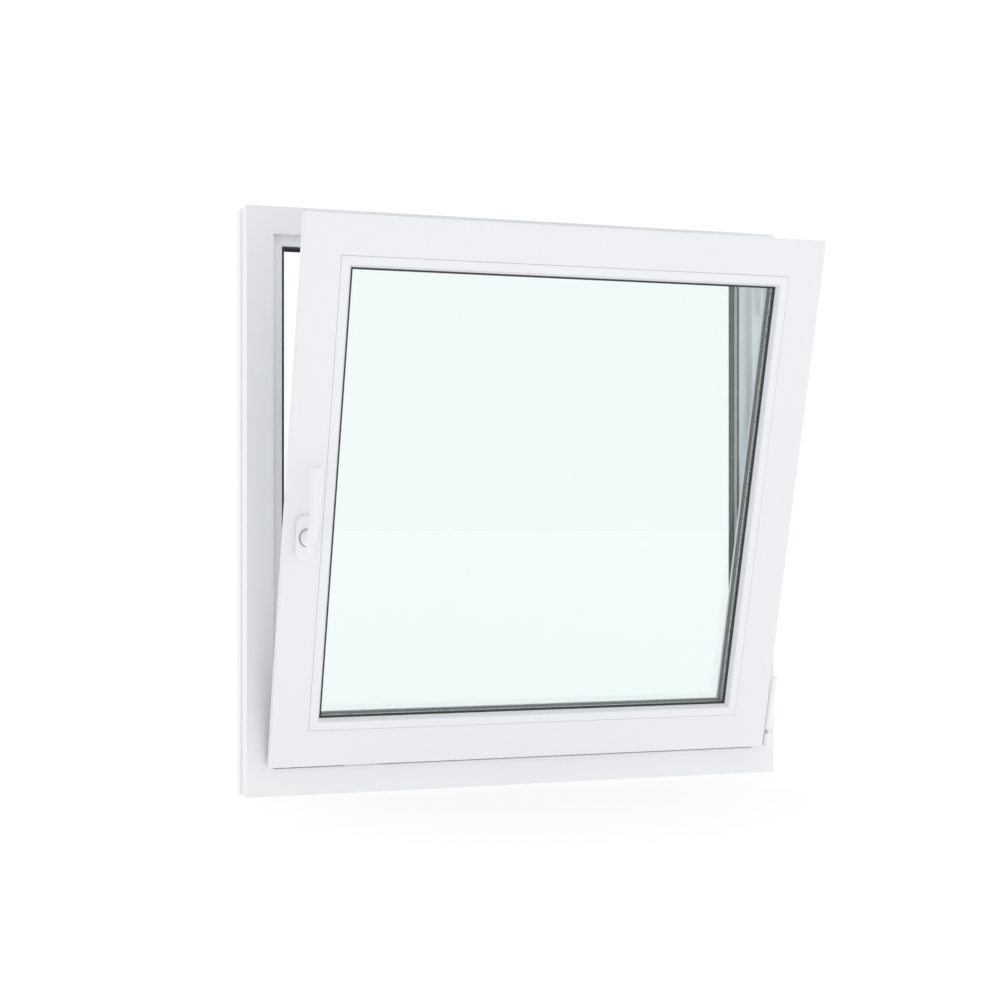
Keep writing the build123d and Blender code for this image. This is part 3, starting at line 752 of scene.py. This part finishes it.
@dataclass
class Glazing:
    """Beads with their mitres, and the two gaskets and the spacer of the glass unit."""

    finishes: FinishSet
    face: float = 64.3
    line: float = 83.8
    joint: float = 0.35
    mitre: float = 0.12 * MM
    clearance: float = 5
    inner_lip: float = 3.6
    spacer_lift: float = 1.8
    spacer_shift: float = -1.4 * MM

    def bead_profile(self) -> np.ndarray:
        """Outline of a bead: flat face, rounded brow, sloped edge to the glass and a clip foot."""
        start = self.face + self.joint
        return rounded(
            [
                (0, start, 0.7),
                (0, self.face + 14.5, 1.3),
                (9, self.line, 0.5),
                (10, self.line, 0.2),
                (10, start, 0.3),
                (7, start, 0.1),
                (7, self.face - 5.8, 0.3),
                (4, self.face - 5.8, 0.3),
                (4, start, 0.1),
            ]
        )

    def beads(self) -> None:
        """Build the four beads, with a hair of a gap at each mitre."""
        bars = ring_bars(self.bead_profile(), SASH_SIZE, self.mitre)
        for side, ends in zip(Side, bars):
            name = "bead_" + side.name.lower()
            piece = skin("glazing_" + name, SASH.place(ends), crease=40.0)
            self.finishes.add(piece, Slot.BEAD, name)

    def gaskets(self) -> None:
        """Build the rubber lips on both sides of the glass."""
        low, tip = self.face + self.clearance, self.line + self.inner_lip
        inner = rounded(
            [
                (10, low, 0.1),
                (12, low, 0.1),
                (12, tip, 0.4),
                (11.3, tip, 0.3),
                (10.4, tip - 2, 0.5),
                (10, self.line + 0.4, 0.2),
            ]
        )
        outer = rounded(
            [
                (43, low, 0.1),
                (40, low, 0.1),
                (40, self.line - 0.4, 0.3),
                (41, self.line - 0.4, 0.4),
                (43, self.line - 1, 0.4),
            ]
        )
        inner_lip = loop("inner_glass_lip", SASH, inner, SASH_SIZE)
        self.finishes.add(inner_lip, Slot.RUBBER, "glass_inner_gasket")
        outer_lip = loop("outer_glass_lip", SASH, outer, SASH_SIZE)
        self.finishes.add(outer_lip, Slot.RUBBER, "glass_outer_gasket")

    def spacer(self) -> None:
        """Build the spacer: a ridged grey bar, and the strip along its room-side edge, whose near-white
        finish is a painted glint.

        Both stand a little to the left, so that more of them shows beside the right bead.
        """
        low, top, shift = self.face + self.clearance, self.line + self.spacer_lift, self.spacer_shift
        bar = rounded(
            [
                (16, low, 0.1),
                (36, low, 0.1),
                (36, top - 0.5, 0.4),
                (34, top, 0.4),
                (28, top - 0.4, 1.5),
                (23, top, 0.3),
                (23, top - 3, 0.1),
                (16, top - 3, 0.1),
            ]
        )
        strip = rounded(
            [
                (18.8, low, 0.1),
                (22.8, low, 0.1),
                (22.8, top, 0.4),
                (18.8, top - 0.6, 0.4),
            ]
        )
        spacer = loop("spacer_bar", SASH, bar, SASH_SIZE, shift)
        self.finishes.add(spacer, Slot.SPACER, "glass_spacer")
        # the strip's near-white finish is a painted glint
        edge = loop("spacer_strip", SASH, strip, SASH_SIZE, shift)
        self.finishes.add(edge, Slot.SPACER, look=Look.STRIP)

    def build(self) -> None:
        """Build every piece of the glazing."""
        self.beads()
        self.gaskets()
        self.spacer()


@dataclass
class Hinges:
    """Turned caps and rivets of the two hinges and of the stay arm."""

    finishes: FinishSet
    across: float = 477.5
    barrel_depth: float = 10.72
    barrel_top: float = 131.1
    stay_y: float = -29
    stay_lift: float = 5.8
    stay_length: float = 330
    stay_thickness: float = 3
    groove_depth: float = 23.5
    faceplate_up: float = 907
    cap_rise: float = 11
    cap_radius: float = 7.2
    cap_dome: float = 1.8
    cap_skirt: float = 0.6
    rivet_radius: float = 5.6
    rivet_dome: float = 2.4
    rivet_skirt: float = 0.4

    def barrel_cap(self) -> None:
        """Build the low cap on the barrel's top, with a shadow groove under it."""
        radius = np.array([6.0, 6.0, 7.0, 6.9, 6.2, 4.5])
        rise = np.array([-0.5, 0.5, 0.5, 1.1, 1.5, 1.7])
        place = np.array([self.across, self.barrel_depth, self.barrel_top])
        piece = skin("hinge_top_cap", SASH.place((turned(radius, rise) + place) * MM))
        self.finishes.add(piece, Slot.HINGE)

    def stay_ends(self) -> None:
        """Build the domed cap over the stay's bearing and the rivet head on the stay's block.

        The rivet stands where a circle round the bearing, as wide as the arm is long, meets the
        line of the groove along the sash's top.
        """
        groove = SASH.place(np.array([0.0, self.groove_depth, self.faceplate_up]) * MM) / MM
        level = groove[2] + self.stay_lift
        run = math.sqrt(self.stay_length**2 - (self.stay_y - groove[1]) ** 2)
        cap = domed(self.cap_radius, self.cap_dome, self.cap_skirt)
        cap = cap + np.array([self.across, self.stay_y, level + self.cap_rise])
        self.finishes.add(skin("stay_bearing_cap", cap * MM), Slot.HINGE)
        head = domed(self.rivet_radius, self.rivet_dome, self.rivet_skirt)
        head = head + np.array([self.across - run, groove[1], level + self.stay_thickness])
        self.finishes.add(skin("stay_rivet_head", head * MM), Slot.STEEL)

    def build(self) -> None:
        """Build the hinge details."""
        self.barrel_cap()
        self.stay_ends()


@dataclass
class Fittings:
    """Screws of the faceplates and keeps, rollers of the cams, and the drain caps' hoods."""

    finishes: FinishSet
    groove_depth: float = 23.5
    faceplate_height: float = 25
    keep_depth: float = 5.5
    keep_top: float = 54
    keep_floor: float = 49.3
    cam_places: tuple[float, ...] = (-300, 0, 300, 300)
    plate_screw_places: tuple[float, ...] = (-395, -237, -79, 79, 395)
    keep_wall_screw: float = -22.5
    keep_floor_screw: float = 20
    screw_radius: float = 3.1
    screw_dome: float = 0.7
    screw_skirt: float = 0.6
    recess_depth: float = 0.8
    cap_spread: float = 560
    cap_width: float = 42
    cap_end: float = 3
    cap_taper: float = 0.12

    def screw(self) -> np.ndarray:
        """Rings of a low domed screw head with a cross recess.

        Height is dome * (1 - (r/R)^2). The recess goes down where the smaller of |x| and |y| is
        under a sixth of R and r is under two thirds of R, with a soft edge.

        Returns:
            Array (rows, columns, 3) of along, depth and rise.
        """
        share = np.concatenate([[1.0, 1.0], np.linspace(0.96, 0.06, 13)])
        rings = turned(self.screw_radius * share, self.screw_dome * (1 - share**2))
        slot = np.minimum(np.abs(rings[..., 0]), np.abs(rings[..., 1])) / self.screw_radius
        inside = np.clip((0.16 - slot) / 0.06, 0, 1) * np.clip((0.66 - share) / 0.08, 0, 1)[:, None]
        rings[..., 2] -= self.recess_depth * inside
        rings[0, :, 2] = -self.screw_skirt
        return rings

    def on_faceplate(self, rings: np.ndarray) -> np.ndarray:
        """Turn rings over, so that they rise from the bottom faceplate towards the frame.

        Args:
            rings: array (..., 3) of along, depth and rise.

        Returns:
            Array of the same shape of along, outward and height over the sash's bottom edge.
        """
        return rings * np.array([1, 1, -1]) + np.array([0, self.groove_depth, self.faceplate_height])

    def at_cams(self, points: np.ndarray, size: tuple[float, float]) -> np.ndarray:
        """Repeat points at the place of each side's cam.

        Args:
            points: array (..., 3) of along, outward and height, round a cam on the bottom side.
            size: width and height of the rectangle in metres.

        Returns:
            Array (4, ..., 3) of across, outward and up from the rectangle's foot, in metres.
        """
        places = zip(Side, self.cam_places)
        return np.stack([side.turn(points + np.array([place, 0, 0]), size) for side, place in places])

    def faceplate_screws(self) -> None:
        """Build the screws that hold the four faceplates in the sash groove."""
        places = np.array(self.plate_screw_places)[:, None, None, None] * np.array([1, 0, 0])
        row = self.on_faceplate(self.screw()) + places
        heads = np.stack([side.turn(row, SASH_SIZE) for side in Side])
        self.finishes.add(skin("faceplate_screws", SASH.place(heads)), Slot.STEEL)

    def keep_screws(self) -> None:
        """Build two screws on each keep: one on its end wall and one on the floor of its slot."""
        head = self.screw()
        wall = head + np.array([self.keep_wall_screw, self.keep_depth, self.keep_top])
        floor = head + np.array([self.keep_floor_screw, self.keep_depth, self.keep_floor])
        heads = self.at_cams(np.stack([wall, floor]), FRAME_SIZE)
        self.finishes.add(skin("keep_screws", WALL.place(heads)), Slot.STEEL)

    def cam_rollers(self) -> None:
        """Build the turned rollers on the cams' stems."""
        radius = np.array([2.3, 2.9, 3.1, 3.1, 2.9, 2.3])
        rise = np.array([0.2, 0.2, 0.5, 4.5, 4.8, 4.8])
        rollers = self.at_cams(self.on_faceplate(turned(radius, rise)), SASH_SIZE)
        self.finishes.add(skin("cam_rollers", SASH.place(rollers)), Slot.STEEL)

    def drain_hoods(self, rows: int = 33) -> None:
        """Build the hooded drain caps: a louvred profile along X, rounded off at both ends.

        Over the last few millimetres the profile's depth falls as a quarter circle, and its
        height shrinks a little with it.

        Args:
            rows: stations along each cap.
        """
        profile = rounded(
            [
                (69.8, 11.6, 0.1),
                (72.6, 11.6, 0.4),
                (74.07, 13.2, 0.4),
                (72.4, 14.6, 0.2),
                (74.07, 16.8, 0.4),
                (72.4, 18.2, 0.2),
                (74.07, 20.4, 0.4),
                (72.9, 23.6, 0.8),
                (69.8, 25.4, 0.1),
            ],
            steps=4,
        )
        half, end = self.cap_width / 2 * MM, self.cap_end * MM
        along = half * np.sin(np.linspace(-math.pi / 2, math.pi / 2, rows))
        left = np.clip((np.abs(along) - half + end) / end, 0, 1)
        fall = np.sqrt(1 - left**2)[:, None]
        base = profile[0, 0]
        depth = base + (profile[:, 0] - base) * fall
        middle = profile[:, 1].mean()
        up = middle + (profile[:, 1] - middle) * (1 - self.cap_taper * (1 - fall))
        across = np.broadcast_to(along[:, None], depth.shape)
        cap = np.stack([across, depth, up], axis=-1)
        half_spread = np.array([self.cap_spread / 2 * MM, 0, 0])
        caps = np.stack([cap - half_spread, cap + half_spread])
        piece = skin("drain_hoods", WALL.place(caps), crease=30.0)
        self.finishes.add(piece, Slot.CAP, "sill_drain_caps")

    def build(self) -> None:
        """Build the small parts."""
        self.faceplate_screws()
        self.keep_screws()
        self.cam_rollers()
        self.drain_hoods()


@dataclass
class Handle:
    """The rosette on the stile and the swan-necked lever, which stands up in the tilt position."""

    finishes: FinishSet
    across: float = -430.5
    up: float = 404
    tip_rounding: float = 8.5
    tip_flattening: float = 0.8
    rosette_half_width: float = 17
    rosette_straight: float = 21
    rosette_height: float = 11
    rosette_power: float = 2.5
    shadow_gap: float = 0.8
    shadow_inset: float = 1.2
    rim_width: float = 3.2
    rim_drop: float = 3.2
    seat_edge: float = 0.4
    seat_radius: float = 13
    seat_stretch: float = 3
    seat_lift: float = 1.5
    seat_depth: float = 6
    bore_radius: float = 5.6

    def seat(self, points: np.ndarray) -> np.ndarray:
        """Move points from the handle's own axes to its place on the tilted sash.

        Args:
            points: array (..., 3) of across, outward and up from the spindle's centre, in millimetres.

        Returns:
            Array of window points.
        """
        return SASH.place((points + np.array([self.across, 0.0, self.up])) * MM)

    def lever_rings(self, columns: int = 56) -> np.ndarray:
        """Skin of the lever.

        The centre line is a uniform cubic B-spline through the room: straight out of the rosette,
        up in a tight bend, and along the slightly bowed grip. Half width, half depth and squareness
        are splines over the same control points. Square to the line stands a superellipse,
        |a/w|^p + |b/d|^p = 1. Over the tip's rounding it shrinks as a quarter circle.

        Args:
            columns: points round it.

        Returns:
            Array (rows, columns, 3) in the handle's own axes.
        """
        table = np.array(
            [
                # out, up, half width, half depth, power
                [5.4, 1.0, 10.8, 13.4, 2.0],
                [12.0, 1.0, 10.6, 13.2, 2.0],
                [18.0, 1.0, 10.3, 12.4, 2.0],
                [31.0, 1.2, 10.0, 11.4, 2.0],
                [43.5, 4.5, 9.8, 10.8, 2.1],
                [49.0, 19.0, 9.3, 8.6, 2.3],
                [51.5, 42.0, 8.7, 7.0, 2.7],
                [51.5, 68.0, 8.9, 6.3, 3.1],
                [49.5, 98.0, 10.9, 6.0, 3.3],
                [47.5, 130.5, 11.5, 5.8, 3.3],
            ]
        )
        control = np.concatenate([table[:1], table[:1], table, table[-1:], table[-1:]])
        basis = np.array([[1, 4, 1, 0], [-3, 0, 3, 0], [3, -6, 3, 0], [-1, 3, -3, 1]]) / 6.0
        t = np.linspace(0, 1, 9)[:-1]
        powers = np.stack([np.ones_like(t), t, t**2, t**3], axis=-1)
        spans = np.stack([control[:-3], control[1:-2], control[2:-1], control[3:]], axis=1)
        stations = np.einsum("tp,pk,skc->stc", powers, basis, spans).reshape(-1, 5)

        travel = np.concatenate([[0.0], np.cumsum(np.hypot(*np.diff(stations[:, :2], axis=0).T))])
        length, rounding = travel[-1], self.tip_rounding
        tip = length - rounding * (1 - np.sin(np.linspace(0, math.pi / 2, 14)))
        s = np.concatenate([travel[travel < length - rounding - 1], tip])
        out, up, width, depth, power = (np.interp(s, travel, column) for column in stations.T)
        heading = np.arctan2(np.gradient(up, s), np.gradient(out, s))
        shrink = 1 - np.sqrt(1 - (1 - np.clip((length - s) / rounding, 0, 1)) ** 2)
        width = width - shrink * rounding
        depth = depth - shrink * rounding * self.tip_flattening

        angle = np.linspace(0, 2 * math.pi, columns, endpoint=False)[None, :]
        exponent = (2.0 / power)[:, None]
        across = width[:, None] * np.sign(np.cos(angle)) * np.abs(np.cos(angle)) ** exponent
        off = depth[:, None] * np.sign(np.sin(angle)) * np.abs(np.sin(angle)) ** exponent
        y = -out[:, None] - off * np.sin(heading)[:, None]
        z = up[:, None] - off * np.cos(heading)[:, None]
        return np.stack([across, y, z], axis=-1)

    def rosette_rings(self, columns: int = 96) -> np.ndarray:
        """Skin of the rosette.

        Its outline is a slot: a superellipse whose halves are moved up and down by the straight
        part. The rings leave a shadow gap over the sash, climb the side, roll over the rim, which is
        a superellipse too, cross the flat top while the slot shrinks to the oval seat of the neck,
        and go down into the seat and the spindle's bore.

        Args:
            columns: points round.

        Returns:
            Array (rows, columns, 3) in the handle's own axes.
        """
        top, seat, bore, lip = self.rosette_height, self.seat_radius, self.bore_radius, self.seat_edge
        side, oval, floor = self.rosette_half_width, self.seat_stretch, top - self.seat_depth
        inset, squareness = side - self.shadow_inset, 2 / self.rosette_power
        turn = np.linspace(0, math.pi / 2, 12)
        rim_radius = side - self.rim_width * (1 - np.cos(turn) ** squareness)
        rim_height = top - self.rim_drop * (1 - np.sin(turn) ** squareness)
        foot_radius, foot_height = [inset, inset, side], [0.0, self.shadow_gap, self.shadow_gap]
        radius = np.concatenate([foot_radius, rim_radius, [seat + lip, seat, seat, bore, bore]])
        height = np.concatenate([foot_height, rim_height, [top, top - lip, floor, floor, 0.5]])
        outer = len(foot_radius) + len(turn)
        stretch = np.array([self.rosette_straight] * outer + [oval] * 3 + [0.0] * 2)
        lift = np.array([0.0] * outer + [self.seat_lift] * 3 + [0.0] * 2)

        angle = np.linspace(0, 2 * math.pi, columns, endpoint=False)[None, :]
        cosine, sine = np.cos(angle), np.sin(angle)
        slotted = stretch[:, None] > oval
        exponent = np.where(slotted, squareness, 1.0)
        across = radius[:, None] * np.sign(cosine) * np.abs(cosine) ** exponent
        turned_up = radius[:, None] * np.sign(sine) * np.abs(sine) ** exponent
        halves = np.where(slotted, np.tanh(40 * sine), sine)
        up = lift[:, None] + turned_up + stretch[:, None] * halves
        return np.stack([across, np.broadcast_to(-height[:, None], across.shape), up], axis=-1)

    def build(self) -> None:
        """Build the rosette and the lever."""
        lever = skin("handle_grip", self.seat(self.lever_rings()), crease=50.0)
        self.finishes.add(lever, Slot.HANDLE, "handle_lever", body=Body.HANDLE)
        rosette = skin("handle_plate", self.seat(self.rosette_rings()), crease=40.0)
        self.finishes.add(rosette, Slot.HANDLE, "handle_rosette")


@dataclass
class Studio:
    """Camera, floor and soft light."""

    camera_place: tuple[float, float, float] = (-1.2601, -3.2686, 0.4681)
    camera_turn: float = -20.49
    sensor_width: float = 36.0
    focal_length: float = 70.84
    frame_shift: float = 0.02015
    sky_strength: float = 1.05
    rise_span: tuple[float, float] = (0.0, 0.4)
    near_span: tuple[float, float] = (-1.4, 0.0)
    near_drop: float = 0.48
    far_span: tuple[float, float] = (0.0, 1.0)
    far_drop: float = 0.04
    right_span: tuple[float, float] = (0.62, 0.95)
    right_gain: float = 0.4
    floor_half: float = 80.0
    floor_gap: float = 0.5 * MM
    floor_grey: tuple[float, float, float, float] = (0.35, 0.35, 0.35, 1.0)
    floor_glow: float = 0.668

    def camera(self) -> None:
        """Set up the level camera, which looks across the window from its left."""
        data = bpy.data.cameras.new("camera")
        data.sensor_width = self.sensor_width
        data.lens = self.focal_length
        data.shift_y = self.frame_shift
        camera = bpy.data.objects.new("camera", data)
        camera.location = self.camera_place
        camera.rotation_euler = (math.radians(90), 0, math.radians(self.camera_turn))
        bpy.context.scene.collection.objects.link(camera)
        bpy.context.scene.camera = camera

    def ramp(
        self,
        tree: bpy.types.NodeTree,
        value: bpy.types.NodeSocket,
        span: tuple[float, float],
        levels: tuple[float, float],
    ) -> bpy.types.NodeSocket:
        """Clamped straight ramp of a value.

        Args:
            tree: the node tree.
            value: the socket that is mapped.
            span: where the ramp starts and ends.
            levels: result at the start and at the end.

        Returns:
            The result's socket.
        """
        node = tree.nodes.new("ShaderNodeMapRange")
        tree.links.new(value, node.inputs["Value"])
        for name, number in zip(("From Min", "From Max", "To Min", "To Max"), (*span, *levels)):
            node.inputs[name].default_value = number
        return node.outputs["Result"]

    def calculate(
        self,
        tree: bpy.types.NodeTree,
        operation: str,
        first: bpy.types.NodeSocket,
        second: bpy.types.NodeSocket | float,
    ) -> bpy.types.NodeSocket:
        """Sum or product of two values.

        Args:
            tree: the node tree.
            operation: ADD for the sum or MULTIPLY for the product.
            first: a socket.
            second: a socket or a number.

        Returns:
            The result's socket.
        """
        node = tree.nodes.new("ShaderNodeMath")
        node.operation = operation
        tree.links.new(first, node.inputs[0])
        if isinstance(second, float):
            node.inputs[1].default_value = second
        else:
            tree.links.new(second, node.inputs[1])
        return node.outputs["Value"]

    def sky(self) -> None:
        """Surround the window with white light.

        It is even along the horizon. Higher up it is weaker from the near left corner, where X + Y
        is below zero, a little weaker from the far side, and stronger from the right.
        """
        world = bpy.data.worlds.new("studio_light")
        world.use_nodes = True
        tree = world.node_tree
        background = tree.nodes["Background"]
        background.inputs["Color"].default_value = (1.0, 1.0, 1.0, 1.0)
        split = tree.nodes.new("ShaderNodeSeparateXYZ")
        tree.links.new(tree.nodes.new("ShaderNodeTexCoord").outputs["Generated"], split.inputs["Vector"])
        height = self.ramp(tree, split.outputs["Z"], self.rise_span, (0.0, 1.0))
        right = self.ramp(tree, split.outputs["X"], self.right_span, (0.0, self.right_gain))
        far = self.ramp(tree, split.outputs["Y"], self.far_span, (0.0, -self.far_drop))
        near = self.calculate(tree, "ADD", split.outputs["Y"], split.outputs["X"])
        near = self.ramp(tree, near, self.near_span, (-self.near_drop, 0.0))
        total = self.calculate(tree, "ADD", self.calculate(tree, "ADD", right, far), near)
        change = self.calculate(tree, "MULTIPLY", total, height)
        strength = self.calculate(tree, "ADD", change, self.sky_strength)
        tree.links.new(strength, background.inputs["Strength"])
        bpy.context.scene.world = world
        bpy.context.scene.view_settings.view_transform = "Standard"

    def floor(self) -> None:
        """Lay the pale light-table floor just under the window."""
        half = self.floor_half
        corners = np.array([[-half, -half, 0], [half, -half, 0], [half, half, 0], [-half, half, 0]])
        floor = mesh_object("studio_floor", corners - [0, 0, self.floor_gap], np.array([[0, 1, 2, 3]]))
        nodes = Nodes("floor_paper")
        nodes.surface(
            Base_Color=self.floor_grey,
            Roughness=0.9,
            Emission_Color=(1.0, 1.0, 1.0, 1.0),
            Emission_Strength=self.floor_glow,
        )
        floor.data.materials.append(nodes.material)

    def build(self) -> None:
        """Build the whole studio."""
        self.camera()
        self.sky()
        self.floor()


def main() -> None:
    """Dress the window, build its pieces in order and set up the studio."""
    logging.basicConfig(level=logging.INFO, format="%(name)s: %(message)s")
    finishes = FinishSet()
    finishes.make()
    finishes.dress_all()
    LOG.info("finished %d nodes", len(FRAME["nodes"]))
    for group in (
        Seals(finishes),
        Glazing(finishes),
        Handle(finishes),
        Hinges(finishes),
        Fittings(finishes),
    ):
        group.build()
        LOG.info("built %s", type(group).__name__)
    Studio().build()


if __name__ == "__main__":
    main()
